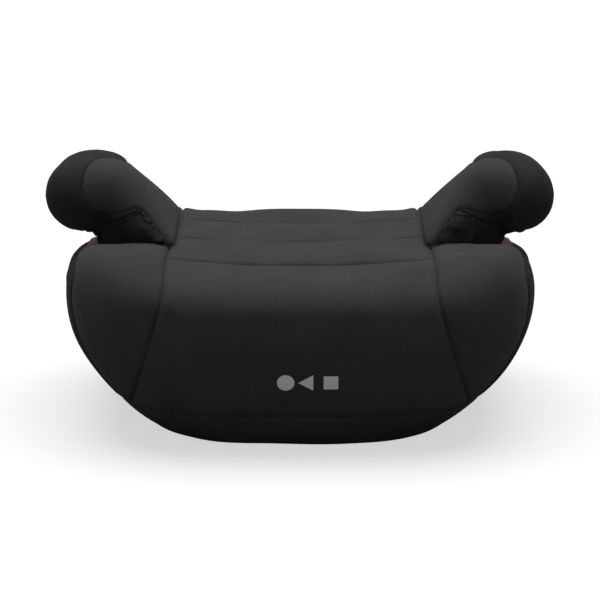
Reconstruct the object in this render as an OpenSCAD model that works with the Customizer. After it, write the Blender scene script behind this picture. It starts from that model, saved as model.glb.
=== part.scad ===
// Backless booster seat: a moulded shell on rubber feet, two bolted armrests with open
// belt paths under them, foam, and a sewn fabric cover held by an elastic hem.
// X runs across the seat, -Y is the front, Z is up. Origin: bottom centre of the whole seat.

/* [Seat body] */
// Half width of the body at its widest, just under the rim
rim_half_w = 203; // [198:1:208]
// Distance from the centre to the front and to the back of the body at the rim
rim_half_d = 190; // [185:1:195]
// Half width of the body where it meets the floor
base_half_w = 119; // [112:1:126]
// Distance from the centre to the front and to the back of the base
base_half_d = 138; // [132:1:145]
// Height at which the side walls start to roll over into the top
rim_z = 122; // [115:1:126]
// Height of the middle of the seat
seat_z = 150; // [146:1:153]
// How much higher the seat's sides are than its middle
seat_dish = 5; // [0:1:8]
// How much higher the front wings are than the seat's sides
wing_rise = 5; // [2:1:7]
// Drop of the belt ledge behind each front wing
ledge_drop = 27; // [22:1:30]

/* [Armrests] */
// Half of the width over both armrests
arm_half_w = 216; // [212:1:220]
// Radius of the armrest's head at its thickest
head_r = 36; // [33:1:37]
// Height of the centre of the head
head_z = 192; // [190:1:197]

/* [Cover and foam] */
// Thickness of the cover, a knitted fabric with foam on its back
cover_t = 5; // [4:0.5:6]
// Extra foam under the seat
seat_foam_t = 9; // [5:1:12]
// Foam wrap on each armrest core
arm_foam_t = 5; // [3:1:6]
// Height of the seam above the hem band
hem_seam_z = 32; // [26:1:36]

/* [Shell and feet] */
// Wall thickness of the moulded shell and armrest cores
wall = 2.5; // [2.2:0.1:3.5]
// Height of the rubber feet, and so of the shell's lower edge
foot_h = 6; // [5:0.5:8]
// Radius of each rubber foot
foot_r = 14; // [12:1:16]
// Radius of the armrest screws
screw_r = 2.2; // [2:0.1:2.5]

/* [Hidden] */

far = 400;
segments = 36;              // points around each ring of the body
wall_rings = 6;             // rings up the side walls
lid_insets = [2, 6, 12, 21, 34, 52, 78, 115];           // rings across the top, in from the rim
plan_taper = 0.05;          // how much narrower the front is than the back
side_roll = 22;             // radius with which the walls roll into the top, at the sides
front_roll = 55;            // under the knees
back_roll = 50;             // at the back
seat_seam_x = 108;          // the seams along both sides of the seat
apron_flare_x = 142;        // where those seams reach the hem seam
apron_flare_z = 105;        // height at which they start to spread
rear_seam_y = 72;           // cross seams of the seat
middle_seam_y = -20;
front_seam_y = -120;
wing_seam_y = -100;         // between each wing and the side and gusset behind it
back_seam_y = 160;
back_seam_x = 150;          // the upright seams at the back corners
gusset_x = 186;             // the gusset's outer and lower edge, on the side of the body
gusset_z = 116;
arm_seam_x = 160;           // the seam along the top of each armrest
loop_r = 24;                // the seam's loop round the nose of the armrest
loop_z = 206;
arm_under_z = 166;          // where the armrest's outer panel ends under the head
mark_at = [7, 66];          // middle of the print on the apron, across and up
mark_w = 13;                // size of each of its three shapes
under_z = 3;                // underside of the turned-in hem
under_hem_w = 30;           // how far the hem turns in under the shell
elastic_r = 2;
rib_t = 2;
rib_x = [-75, -25, 25, 75];
rib_y = [-60, 0, 60];
hook_grip = rib_t / 2 + 0.15;       // half width of the slot that takes a rib
hook_w = 2 * hook_grip + 3.6;
guide_t = 2.5;              // thickness of the belt guides
boss_r = 7;
core_windows = [10, 74];    // openings in the floor of each armrest core, between its screws
screw_at = [[130, -10], [138, 46], [130, 118]];         // armrest screws, on the right-hand side
screw_head = [4.6, 3];      // radius and height
screw_l = 20;

function step(v, a, b) = let (u = max(0, min(1, (v - a) / (b - a)))) u * u * (3 - 2 * u);
function rounded(v, p) = sign(v) * pow(abs(v), p);
function bowl(z) = pow(sin(90 * max(0, z) / rim_z), 0.69);
function wall_w(z) = base_half_w + (rim_half_w - base_half_w) * bowl(z);
function wall_d(z) = base_half_d + (rim_half_d - base_half_d) * bowl(z);
function squareness(z) = 2.7 + 1.1 * bowl(z);

// A point of the body's outline at angle a, for half width w and half depth d, n being its squareness
function outline(a, w, d, n) =
    let (y = d * rounded(sin(a), 2 / n))
    [w * rounded(cos(a), 2 / n) * (1 + plan_taper * y / rim_half_d), y];

// Height of the top at x, y: dished seat, raised wings in front, lowered belt ledges behind them
function top_z(x, y) =
    let (ax = abs(x))
    seat_z + seat_dish * pow(min(ax / seat_seam_x, 1), 2)
    + wing_rise * step(ax, 100, 125) * step(-y, 40, 80)
    - ledge_drop * step(ax, 140, 172) * step(y, -85, -45)
    - 9 * step(y, 95, 190) * (1 - step(ax, 90, 120));

// How deep the moulded pan lies under the seat foam
function pan_drop(x, y, pan) =
    pan * (1 - step(abs(x), 80, 104)) * step(y, -165, -120) * (1 - step(y, 130, 165));

// How far in from the rim the top reaches its full height
function roll(x, y) =
    let (middle = 1 - step(abs(x), 110, 165))
    side_roll + middle * ((front_roll - side_roll) * step(-y, 90, 165)
        + (back_roll - side_roll) * step(y, 90, 165));

function lid_z(p, t, inset, pan) =
    let (u = 1 - min(1, t / roll(p[0], p[1])), top = top_z(p[0], p[1]) - pan_drop(p[0], p[1], pan))
    rim_z - inset + (top - rim_z) * sqrt(1 - u * u);

function wall_ring(z, inset) =
    [for (i = [0 : segments - 1])
        [each outline(i * 360 / segments, wall_w(z) - inset, wall_d(z) - inset, squareness(z)), z]];
function lid_ring(t, inset, pan) =
    let (q = 1 - t / rim_half_d, shrink = 1 - inset / rim_half_w)
    [for (i = [0 : segments - 1])
        let (p = outline(i * 360 / segments, rim_half_w * q, rim_half_d * q, squareness(rim_z)))
        [p[0] * shrink, p[1] * shrink, lid_z(p, t, inset, pan)]];

// The body's outer form, or one that is inset all over, has a pan, or reaches down to low_z
module body_form(inset = 0, pan = 0, low_z = foot_h) {
    walls = [for (k = [0 : wall_rings - 1])
        let (s = pow(k / wall_rings, 1.3)) wall_ring(low_z + (rim_z - inset - low_z) * s, inset)];
    lids = [for (t = lid_insets) lid_ring(t, inset, pan)];
    rings = concat(walls, [wall_ring(rim_z - inset, inset)], lids);
    tube_solid(rings, [0, 0, low_z], [0, 0, lid_z([0, 0], rim_half_d, inset, pan)]);
}

// A closed solid through rings of equally many points, with a fan at each end
module tube_solid(rings, low_tip, high_tip) {
    n = len(rings[0]);
    last = (len(rings) - 1) * n;
    points = concat([for (r = rings) each r], [low_tip, high_tip]);
    sides = [for (r = [0 : n : last - 1], i = [0 : n - 1])
        let (j = (i + 1) % n)
        each [[r + i, r + n + i, r + n + j], [r + i, r + n + j, r + j]]];
    low_fan = [for (i = [0 : n - 1]) [last + n, i, (i + 1) % n]];
    high_fan = [for (i = [0 : n - 1]) [last + n + 1, last + (i + 1) % n, last + i]];
    polyhedron(points, concat(sides, low_fan, high_fan));
}

// The right-hand armrest: a rounded head over a broad pillar that leans outwards
module ball(x, y, z, r) {
    translate([x, y, z]) sphere(r, $fn = 18);
}
module rod(x, z, y0, y1, r) {
    translate([x, y0, z]) rotate([-90, 0, 0]) cylinder(h = y1 - y0, r = r, $fn = 18);
}
module head_form(inset = 0) {
    head_x = arm_half_w - head_r;
    hull() {
        ball(head_x, -38, head_z, head_r - inset);
        ball(head_x, 25, head_z, head_r - inset);
        ball(head_x - 1, 118, head_z - 8, head_r - 9 - inset);
    }
}
module pillar_form(inset = 0) {
    hull() {
        rod(117, 150, -84 + inset, 148 - inset, 10 - inset / 2);
        rod(154, 118, -40 + inset, 148 - inset, 13 - inset);
        rod(162, 178, -52 + inset, 132 - inset, 22 - inset);
    }
}
module arm_form(inset = 0) {
    head_form(inset);
    pillar_form(inset);
}

// Freeform nodes are made as one mesh
module as_mesh() { resize([0, 0, 0]) children(); }
module on(side) { mirror([side == "left" ? 1 : 0, 0, 0]) children(); }
module both_sides() {
    on("right") children();
    on("left") children();
}

// The whole cover is a skin over the body and armrests, open underneath. Blocks cut it into panels.
module cover_skin() {
    difference() {
        union() {
            body_form();
            both_sides() arm_form();
        }
        body_form(cover_t, 0, -1);
        both_sides() arm_form(cover_t);
    }
}
module block(x0, x1, y0, y1, z0, z1) {
    translate([x0, y0, z0]) cube([x1 - x0, y1 - y0, z1 - z0]);
}
module seat_zone(y0, y1) { block(-seat_seam_x, seat_seam_x, y0, y1, apron_flare_z, far); }
module apron_zone() {
    rotate([90, 0, 0]) linear_extrude(far) polygon([
        [-seat_seam_x, far], [-seat_seam_x, apron_flare_z], [-apron_flare_x, hem_seam_z],
        [apron_flare_x, hem_seam_z], [seat_seam_x, apron_flare_z], [seat_seam_x, far]]);
}
module back_zone() { block(-back_seam_x, back_seam_x, 0, far, hem_seam_z, far); }
module arm_inner_zone() {
    lean = arm_seam_x - seat_seam_x;
    translate([0, 150, 0]) rotate([90, 0, 0]) linear_extrude(236) polygon([
        [seat_seam_x, seat_z + 1], [seat_seam_x, far], [arm_seam_x, far], [arm_seam_x, seat_z + lean - 8]]);
    translate([arm_seam_x, -25, loop_z]) rotate([90, 0, 0]) cylinder(h = 80, r = loop_r, $fn = 32);
}
module gusset_zone() {
    difference() {
        union() {
            block(seat_seam_x, gusset_x, wing_seam_y, back_seam_y, gusset_z, arm_under_z);
            block(gusset_x - 1, far, wing_seam_y, back_seam_y, gusset_z + 30, arm_under_z);
        }
        arm_inner_zone();
    }
}
module side_zone(y0, y1) {
    difference() {
        block(0, far, y0, y1, hem_seam_z, gusset_z + 50);
        apron_zone();
        back_zone();
        seat_zone(-far, far);
        gusset_zone();
        arm_inner_zone();
        guide_block();
    }
}

module body_panel(shade) {
    color(shade) as_mesh() intersection() {
        cover_skin();
        children();
    }
}
module cover_seat_rear() { body_panel("#333335") seat_zone(rear_seam_y, back_seam_y); }
module cover_seat_middle() { body_panel("#333335") seat_zone(middle_seam_y, rear_seam_y); }
module cover_seat_front() { body_panel("#303032") seat_zone(front_seam_y, middle_seam_y); }
module cover_apron() {
    body_panel("#262628") difference() {
        apron_zone();
        seat_zone(front_seam_y, 0);
    }
}
module cover_back() {
    body_panel("#202022") difference() {
        back_zone();
        seat_zone(0, back_seam_y);
        both_sides() block(seat_seam_x, far, 0, back_seam_y, gusset_z, far);
    }
}
module cover_hem_band() { body_panel("#1d1d1f") block(-far, far, -far, far, foot_h, hem_seam_z); }
module cover_wing(side) { body_panel("#262628") on(side) side_zone(-far, wing_seam_y); }
module cover_side(side) { body_panel("#202022") on(side) side_zone(wing_seam_y, far); }
module belt_gusset(side) {
    body_panel("#161617") on(side) difference() {
        gusset_zone();
        guide_block();
    }
}
module armrest_cover_inner(side) { body_panel("#2b2b2d") on(side) arm_inner_zone(); }
module armrest_cover_outer(side) {
    body_panel("#1c1c1e") on(side) difference() {
        block(seat_seam_x, far, wing_seam_y, far, arm_under_z, far);
        arm_inner_zone();
    }
}

// A printed mark on the apron: a disc, a triangle and a square, each a thin layer on the fabric
module printed_mark() {
    color("#e8e8e8") as_mesh() intersection() {
        difference() {
            body_form(-0.6);
            body_form(-0.1);
        }
        translate([mark_at[0], 0, mark_at[1]]) rotate([90, 0, 0]) linear_extrude(far) {
            translate([-1.4 * mark_w, 0]) circle(d = mark_w, $fn = 24);
            translate([0, -mark_w / 12]) rotate(90) circle(d = 1.15 * mark_w, $fn = 3);
            translate([1.4 * mark_w, 0]) square(0.9 * mark_w, center = true);
        }
    }
}

// The hem turned in under the shell's lower edge, and the elastic in its fold
module base_plan(inset) {
    polygon([for (i = [0 : segments - 1]) outline(i * 360 / segments, wall_w(foot_h) - inset,
        wall_d(foot_h) - inset, squareness(foot_h))]);
}
module cover_under_hem() {
    color("#1a1a1c") translate([0, 0, under_z]) linear_extrude(foot_h - under_z) difference() {
        base_plan(0);
        base_plan(under_hem_w);
    }
}
module hem_elastic() {
    turns = 44;
    sides = 6;
    middle = under_hem_w + elastic_r + 0.3;
    points = [for (i = [0 : turns - 1], k = [0 : sides - 1])
        let (r = middle + elastic_r * cos(k * 360 / sides))
        [each outline(i * 360 / turns, wall_w(foot_h) - r, wall_d(foot_h) - r, squareness(foot_h)),
            under_z + elastic_r + elastic_r * sin(k * 360 / sides)]];
    faces = [for (i = [0 : turns - 1], k = [0 : sides - 1])
        let (a = i * sides, b = (i + 1) % turns * sides, m = (k + 1) % sides)
        each [[a + k, b + k, b + m], [a + k, b + m, a + m]]];
    color("#3a3a3c") polyhedron(points, faces);
}

// A clip pushed onto a rib's lower edge, with a nose that reaches under the elastic
module hook(reach) {
    difference() {
        translate([-hook_w / 2, -reach, 1.2]) cube([hook_w, 12, 13]);
        translate([-hook_grip, -reach - 1, foot_h]) cube([2 * hook_grip, 14, 12]);
    }
    translate([-hook_w / 2, -reach - 5, 1.2]) cube([hook_w, 5, 1.6]);
}
function elastic_reach(half) = half - under_hem_w - 2 * elastic_r - 0.6;
module hem_hooks() {
    color("#2a2a2a") {
        for (x = [rib_x[1], rib_x[2]], turn = [0, 180])
            rotate(turn) translate([x, 0, 0]) hook(elastic_reach(wall_d(foot_h)) - 1);
        for (turn = [-90, 90])
            rotate(turn) hook(elastic_reach(wall_w(foot_h)));
    }
}

module at_feet() {
    for (x = [rib_x[0], rib_x[3]], y = [rib_y[0], rib_y[2]])
        translate([x, y, 0]) children();
}
module rubber_feet() {
    color("#111111") at_feet() cylinder(h = foot_h, r = foot_r, $fn = 48);
}

// The moulded shell: one wall all round, with bosses for the armrests' screws
function screw_seat_z(p) = lid_z(p, 60, cover_t, seat_foam_t) - 7;
module at_screws() {
    for (p = screw_at)
        translate([p[0], p[1], screw_seat_z(p)]) children();
}
module shell_hollow() { body_form(cover_t + wall, seat_foam_t, foot_h - 1); }
module seat_shell() {
    color("#1b1b1b") as_mesh() difference() {
        union() {
            difference() {
                body_form(cover_t, seat_foam_t);
                shell_hollow();
            }
            intersection() {
                body_form(cover_t + wall / 2, seat_foam_t);
                both_sides() at_screws() translate([0, 0, -25]) cylinder(h = 60, r = boss_r, $fn = 14);
            }
        }
        both_sides() at_screws() {
            translate([0, 0, -1]) cylinder(h = 60, r = screw_r + 0.3, $fn = 12);
            translate([0, 0, -60]) cylinder(h = 60, r = screw_head[0] + 0.5, $fn = 14);
        }
    }
}

// Stiffening ribs under the pan: long ones from front to back, short ones between them
module shell_ribs() {
    edges = concat([-far], rib_x, [far]);
    color("#1b1b1b") as_mesh() intersection() {
        shell_hollow();
        union() {
            for (x = rib_x)
                block(x - rib_t / 2, x + rib_t / 2, -far, far, foot_h, far);
            for (y = rib_y, k = [0 : len(edges) - 2])
                block(edges[k] + rib_t / 2 + 0.1, edges[k + 1] - rib_t / 2 - 0.1,
                    y - rib_t / 2, y + rib_t / 2, foot_h, far);
        }
    }
}
module armrest_screws() {
    color("#b8b8bc") both_sides() at_screws() {
        cylinder(h = screw_l, r = screw_r, $fn = 24);
        translate([0, 0, -screw_head[1]]) cylinder(h = screw_head[1], r = screw_head[0], $fn = 24);
    }
}

module armrest_core(side) {
    core = cover_t + arm_foam_t;
    color("#242424") as_mesh() on(side) difference() {
        arm_form(core);
        difference() {
            arm_form(core + wall);
            difference() {
                body_form(cover_t - wall, 0, -1);
                for (y = core_windows)
                    block(124, 146, y, y + 28, 100, 200);
            }
            at_screws() cylinder(h = screw_l + 3, r = 5.5, $fn = 12);
        }
        body_form(cover_t, 0, -1);
        at_screws() cylinder(h = screw_l + 1, r = screw_r + 0.1, $fn = 12);
    }
}
module head_foam(side) {
    color("#c9c4a8") as_mesh() on(side) difference() {
        head_form(cover_t);
        head_form(cover_t + arm_foam_t);
        pillar_form(cover_t + arm_foam_t);
    }
}
module pillar_foam(side) {
    color("#c9c4a8") as_mesh() on(side) difference() {
        pillar_form(cover_t);
        pillar_form(cover_t + arm_foam_t);
        head_form(cover_t);
        body_form(cover_t, 0, -1);
    }
}
module seat_foam() {
    color("#d8d2b4") as_mesh() difference() {
        intersection() {
            body_form(cover_t);
            block(-98, 98, -155, 155, 100, far);
        }
        body_form(cover_t, seat_foam_t, -1);
        both_sides() arm_form(cover_t);
    }
}

// The coloured liner of the belt path: a tray on the ledge with an edge turned up along the
// pillar, and an ear at the front, where the belt enters
module guide_block() { block(168, 190, -72, 130, 118, 147); }
module belt_guide(side) {
    color("#b3202a") as_mesh() on(side) difference() {
        union() {
            intersection() {
                guide_block();
                union() {
                    difference() {
                        body_form();
                        body_form(guide_t, 0, -1);
                    }
                    pillar_form(-guide_t);
                }
            }
            block(168, 168 + guide_t, -72, -56, 110, 160);
        }
        body_form(cover_t, 0, -1);
        arm_form();
    }
}

seat_shell();
shell_ribs();
armrest_core("left");  // armrest_core_left
armrest_core("right");  // armrest_core_right
armrest_screws();
belt_guide("left");  // belt_guide_left
belt_guide("right");  // belt_guide_right
rubber_feet();
seat_foam();
head_foam("left");  // head_foam_left
head_foam("right");  // head_foam_right
pillar_foam("left");  // pillar_foam_left
pillar_foam("right");  // pillar_foam_right
cover_seat_rear();
cover_seat_middle();
cover_seat_front();
cover_apron();
cover_back();
cover_wing("left");  // cover_wing_left
cover_wing("right");  // cover_wing_right
cover_side("left");  // cover_side_left
cover_side("right");  // cover_side_right
cover_hem_band();
cover_under_hem();
armrest_cover_inner("left");  // armrest_cover_inner_left
armrest_cover_inner("right");  // armrest_cover_inner_right
armrest_cover_outer("left");  // armrest_cover_outer_left
armrest_cover_outer("right");  // armrest_cover_outer_right
belt_gusset("left");  // belt_gusset_left
belt_gusset("right");  // belt_gusset_right
hem_elastic();
hem_hooks();
printed_mark();
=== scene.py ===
"""A backless booster seat: a moulded shell with two armrests, in a sewn cover of padded knit."""

import math

import bmesh
import bpy
import numpy as np
from mathutils import Matrix, Vector, noise
from mathutils.bvhtree import BVHTree
from mathutils.kdtree import KDTree


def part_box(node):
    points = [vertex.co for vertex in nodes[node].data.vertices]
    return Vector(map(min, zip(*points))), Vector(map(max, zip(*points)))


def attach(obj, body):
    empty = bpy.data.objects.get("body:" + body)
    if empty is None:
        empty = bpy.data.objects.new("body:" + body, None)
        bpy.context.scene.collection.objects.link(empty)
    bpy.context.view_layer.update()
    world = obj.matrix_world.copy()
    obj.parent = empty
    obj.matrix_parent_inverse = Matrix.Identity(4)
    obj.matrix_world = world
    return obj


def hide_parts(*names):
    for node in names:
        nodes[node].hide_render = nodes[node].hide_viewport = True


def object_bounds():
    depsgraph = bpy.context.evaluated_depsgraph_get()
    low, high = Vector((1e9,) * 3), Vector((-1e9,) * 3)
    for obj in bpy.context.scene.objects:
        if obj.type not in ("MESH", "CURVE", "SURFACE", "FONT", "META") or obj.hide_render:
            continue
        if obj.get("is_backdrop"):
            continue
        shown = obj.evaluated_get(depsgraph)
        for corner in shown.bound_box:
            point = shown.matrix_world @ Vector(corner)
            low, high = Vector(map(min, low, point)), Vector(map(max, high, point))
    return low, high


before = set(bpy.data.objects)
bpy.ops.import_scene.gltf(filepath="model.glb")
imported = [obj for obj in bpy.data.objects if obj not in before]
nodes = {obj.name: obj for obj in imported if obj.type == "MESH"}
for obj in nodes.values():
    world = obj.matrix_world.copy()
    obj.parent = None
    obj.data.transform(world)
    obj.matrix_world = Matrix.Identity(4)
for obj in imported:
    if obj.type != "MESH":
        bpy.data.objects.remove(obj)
cad_low, cad_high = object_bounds()
SIDES = {"left": -1, "right": 1}


# ---------------------------------------------------------------------------------------
# The shell, its ribs and the armrest cores: black polypropylene from one injection mould,
# with a fine spark-eroded grain on every face. Only the ribs' side shows, from below.
# ---------------------------------------------------------------------------------------
def new_group(name, inputs, outputs):
    """An empty shader group with sockets of these names and kinds."""
    group = bpy.data.node_groups.new(name, "ShaderNodeTree")
    for label, kind, value in inputs:
        socket = group.interface.new_socket(label, in_out="INPUT", socket_type="NodeSocket" + kind)
        if value is not None:
            socket.default_value = value
    for label, kind in outputs:
        group.interface.new_socket(label, in_out="OUTPUT", socket_type="NodeSocket" + kind)
    return group, group.nodes.new("NodeGroupInput").outputs, group.nodes.new("NodeGroupOutput").inputs


def calculate(tree, operation, *values):
    """One Math node on numbers or sockets, and its result."""
    node = tree.nodes.new("ShaderNodeMath")
    node.operation = operation
    for socket, value in zip(node.inputs, values):
        if isinstance(value, bpy.types.NodeSocket):
            tree.links.new(value, socket)
        else:
            socket.default_value = value
    return node.outputs[0]


def noise_texture(tree, vector, scale, detail=2.0, roughness=0.5):
    """A soft noise from 0 to 1 on that vector, scale being in waves per metre or a socket."""
    node = tree.nodes.new("ShaderNodeTexNoise")
    tree.links.new(vector, node.inputs["Vector"])
    if isinstance(scale, bpy.types.NodeSocket):
        tree.links.new(scale, node.inputs["Scale"])
    else:
        node.inputs["Scale"].default_value = scale
    node.inputs["Detail"].default_value = detail
    node.inputs["Roughness"].default_value = roughness
    return node.outputs[0]


def mottle_group():
    """Uneven tone and finish: broad patches and fine specks around 1, and their height."""
    group, given, result = new_group(
        "mottle",
        [("Vector", "Vector", None), ("Patches", "Float", 30.0), ("Specks", "Float", 900.0),
         ("Amount", "Float", 0.1)],
        [("Tone", "Float"), ("Height", "Float")])
    broad = noise_texture(group, given["Vector"], given["Patches"], 3.0)
    fine = noise_texture(group, given["Vector"], given["Specks"], 2.0)
    both = calculate(group, "ADD", broad, fine)
    swing = calculate(group, "MULTIPLY", calculate(group, "SUBTRACT", both, 1.0), given["Amount"])
    group.links.new(calculate(group, "ADD", swing, 1.0), result["Tone"])
    group.links.new(fine, result["Height"])
    return group


MOTTLE = mottle_group()


def new_material(name, roughness, **settings):
    """A material whose plain finish values sit on its own Principled shader."""
    made = bpy.data.materials.new(name)
    made.use_nodes = True
    shader = made.node_tree.nodes["Principled BSDF"]
    shader.inputs["Roughness"].default_value = roughness
    for label, value in settings.items():
        shader.inputs[label.replace("_", " ")].default_value = value
    return made, made.node_tree, shader.inputs


def place_group(tree, group, **values):
    """That group in a material, with its own numbers."""
    node = tree.nodes.new("ShaderNodeGroup")
    node.node_tree = group
    for label, value in values.items():
        if isinstance(value, bpy.types.NodeSocket):
            tree.links.new(value, node.inputs[label])
        else:
            node.inputs[label].default_value = value
    return node.outputs


def object_vector(tree):
    """Places on the piece, in metres."""
    return tree.nodes.new("ShaderNodeTexCoord").outputs["Object"]


def tint(tree, colour, tone, target):
    """Gives target that colour, made lighter and darker by tone."""
    node = tree.nodes.new("ShaderNodeMix")
    node.data_type = "RGBA"
    node.blend_type = "MULTIPLY"
    node.inputs["Factor"].default_value = 1.0
    node.inputs[6].default_value = (*colour, 1)
    tree.links.new(tone, node.inputs[7])
    tree.links.new(node.outputs[2], target)


def emboss(tree, height, distance, target, strength=1.0):
    """Gives target the normals of that height, distance being in metres."""
    node = tree.nodes.new("ShaderNodeBump")
    node.inputs["Strength"].default_value = strength
    node.inputs["Distance"].default_value = distance
    tree.links.new(height, node.inputs["Height"])
    tree.links.new(node.outputs[0], target)


def mottled_material(name, colour, roughness, patches, specks, amount, depth, **settings):
    """A moulded, rubbery or plated finish: one colour, mottled, with a grain that deep."""
    made, tree, inputs = new_material(name, roughness, **settings)
    grain = place_group(tree, MOTTLE, Vector=object_vector(tree), Patches=patches, Specks=specks,
                        Amount=amount)
    tint(tree, colour, grain["Tone"], inputs["Base Color"])
    tree.links.new(calculate(tree, "MULTIPLY", grain["Tone"], roughness), inputs["Roughness"])
    emboss(tree, grain["Height"], depth, inputs["Normal"])
    return made


def dress(node_name, material):
    """Gives a kept node its material."""
    mesh = nodes[node_name].data
    mesh.materials.clear()
    mesh.materials.append(material)


shell_plastic = mottled_material("shell_plastic", (0.012, 0.012, 0.013), 0.46, 25, 1400, 0.35, 0.0002)
for node_name in ("seat_shell", "shell_ribs", "armrest_core_left", "armrest_core_right"):
    dress(node_name, shell_plastic)

# ---------------------------------------------------------------------------------------
# Six zinc-plated screws hold the armrest cores to bosses in the shell, driven from below.
# ---------------------------------------------------------------------------------------
zinc = mottled_material("zinc_plate", (0.56, 0.56, 0.54), 0.32, 180, 2500, 0.3, 0.00005, Metallic=1.0)
dress("armrest_screws", zinc)

# ---------------------------------------------------------------------------------------
# Four black rubber feet, glued into the shell's lower edge.
# ---------------------------------------------------------------------------------------
foot_rubber = mottled_material("foot_rubber", (0.008, 0.008, 0.008), 0.7, 60, 1200, 0.4, 0.0003)
dress("rubber_feet", foot_rubber)

# ---------------------------------------------------------------------------------------
# The belt guides: glossy red polypropylene liners that clip over the ledge under each
# armrest, so that the belt slides on plastic and not on the knit.
# ---------------------------------------------------------------------------------------
guide_red = mottled_material("guide_red", (0.30, 0.008, 0.014), 0.3, 40, 1600, 0.2, 0.00006,
                             Coat_Weight=0.25, Coat_Roughness=0.15)


# ---------------------------------------------------------------------------------------
# The padded body under the cover. It is drafted in millimetres, as the pattern is: a tub
# that widens upwards, with a dished seat, raised front wings and a lower ledge behind them.
# ---------------------------------------------------------------------------------------
MM = 0.001
rim_half_w = 203
rim_half_d = cad_high.y / MM
base_half_w = 119
base_half_d = 138
rim_z = 122
seat_z = 150
plan_taper = 0.05
side_roll = 22
front_roll = 55
back_roll = 50
fold_z = 8
fold_in = 9
under_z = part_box("cover_under_hem")[0].z / MM


def step(value, low, high):
    """0 up to low, 1 from high, and a smooth rise between them."""
    share = np.clip((value - low) / (high - low), 0, 1)
    return share * share * (3 - 2 * share)


def bowl(z):
    return np.sin(np.pi / 2 * np.clip(z / rim_z, 0, 1)) ** 0.69


def outline(p, q, z, inset, shrink=1.0):
    """Where the ray through (p, q) meets the tub's outline at height z, inset all round."""
    square = 2.7 + 1.1 * bowl(z)
    reach = (np.abs(p) ** square + np.abs(q) ** square) ** (-1 / square)
    y = (base_half_d + (rim_half_d - base_half_d) * bowl(z) - inset) * shrink * q * reach
    x = (base_half_w + (rim_half_w - base_half_w) * bowl(z) - inset) * shrink * p * reach
    return x * (1 + plan_taper * y / rim_half_d), y


def top_z(x, y):
    """Height of the seat, wings and ledges at x, y."""
    ax = np.abs(x)
    hump = 3 * np.exp(-(x / 48) ** 2) * step(y, 78, 112) * (1 - step(y, 150, 185))
    return (seat_z + 5 * np.minimum(ax / 108, 1) ** 2
            + 5 * step(ax, 100, 125) * step(-y, 40, 80)
            - 27 * step(ax, 140, 172) * step(y, -85, -45)
            - 9 * step(y, 95, 190) * (1 - step(ax, 90, 120)) + hump)


def edge_roll(x, y):
    """How far in from the rim the top reaches its full height."""
    middle = 1 - step(np.abs(x), 110, 165)
    return side_roll + middle * ((front_roll - side_roll) * step(-y, 90, 165)
                                 + (back_roll - side_roll) * step(y, 90, 165))


def body_draft(steps, inset=0.0):
    """A square grid wrapped over the body, its middle on the seat and its edge at the hem fold."""
    turn = np.linspace(0, np.pi / 2, 60)
    lid_in = np.append(30 * (1 - np.cos(turn)), rim_half_d)
    lid_up = np.append(30 * np.sin(turn), 30)
    lid_len = np.append(0, np.cumsum(np.hypot(np.diff(lid_in), np.diff(lid_up))))
    wall_z = np.linspace(rim_z, fold_z, 120)
    wall_len = np.append(0, np.cumsum(np.hypot(np.diff(wall_z), 84 * np.diff(bowl(wall_z)))))
    fold_len = 11.0
    full = lid_len[-1] + wall_len[-1] + fold_len

    bm = bmesh.new()
    bmesh.ops.create_grid(bm, x_segments=steps, y_segments=steps, size=1)
    flat = np.array([v.co for v in bm.verts])
    flat /= np.abs(flat).max()
    ring = np.maximum(np.abs(flat[:, 0]), np.abs(flat[:, 1]))
    flat[ring < 1e-6] = 1e-6
    ring = np.maximum(ring, 1e-6)
    p, q = flat[:, 0] / ring, flat[:, 1] / ring
    along = ring * full - lid_len[-1]
    from_rim = np.interp(-along, lid_len, lid_in)
    z = np.interp(along, wall_len, wall_z)
    fold = np.clip((along - wall_len[-1]) / fold_len, 0, 1)

    x_lid, y_lid = outline(p, q, np.full_like(z, rim_z), inset, 1 - from_rim / rim_half_d)
    crown = top_z(x_lid, y_lid)
    rise = np.sqrt(np.clip(1 - (1 - np.minimum(1, from_rim / edge_roll(x_lid, y_lid))) ** 2, 0, 1))
    z_lid = rim_z - inset + (crown - rim_z) * rise
    x_wall, y_wall = outline(p, q, z, inset + fold_in * fold)
    z_wall = z - inset * (z / rim_z) - (fold_z - under_z - 0.6) * (1 - (1 - fold) ** 2)
    on_lid = along < 0
    for v, x, y, height in zip(bm.verts, np.where(on_lid, x_lid, x_wall), np.where(on_lid, y_lid, y_wall),
                               np.where(on_lid, z_lid, z_wall)):
        v.co = (x, y, height)
    return bm


# ---------------------------------------------------------------------------------------
# The armrests' padded form: a rounded head over a broad pillar that leans outwards. Each
# is the hull of a few balls, given as the x, y and z of the middle and the radius.
# ---------------------------------------------------------------------------------------
arm_half_w = cad_high.x / MM
head_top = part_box("armrest_cover_outer_right")[1].z / MM
head_balls = [(arm_half_w - 32, -40, head_top - 32, 32), (arm_half_w - 51, -34, head_top - 31, 28),
              (arm_half_w - 32, 25, head_top - 35.5, 32), (arm_half_w - 37, 118, head_top - 44, 27)]
pillar_balls = [(115, -68, 154, 10), (114, 143, 141, 10), (154, -30, 118, 15), (154, 141, 118, 13),
                (157, -42, 182, 18), (163, 121, 178, 18), (arm_half_w - 63, -36, head_top - 30.5, 20)]


def hull_of(bm_parts):
    """The tight skin round everything in a mesh."""
    bmesh.ops.delete(bm_parts, geom=bm_parts.edges[:], context="EDGES_FACES")
    bmesh.ops.convex_hull(bm_parts, input=bm_parts.verts[:])
    bmesh.ops.delete(bm_parts, geom=[v for v in bm_parts.verts if not v.link_faces], context="VERTS")
    bmesh.ops.recalc_face_normals(bm_parts, faces=bm_parts.faces[:])
    return bm_parts


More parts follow.
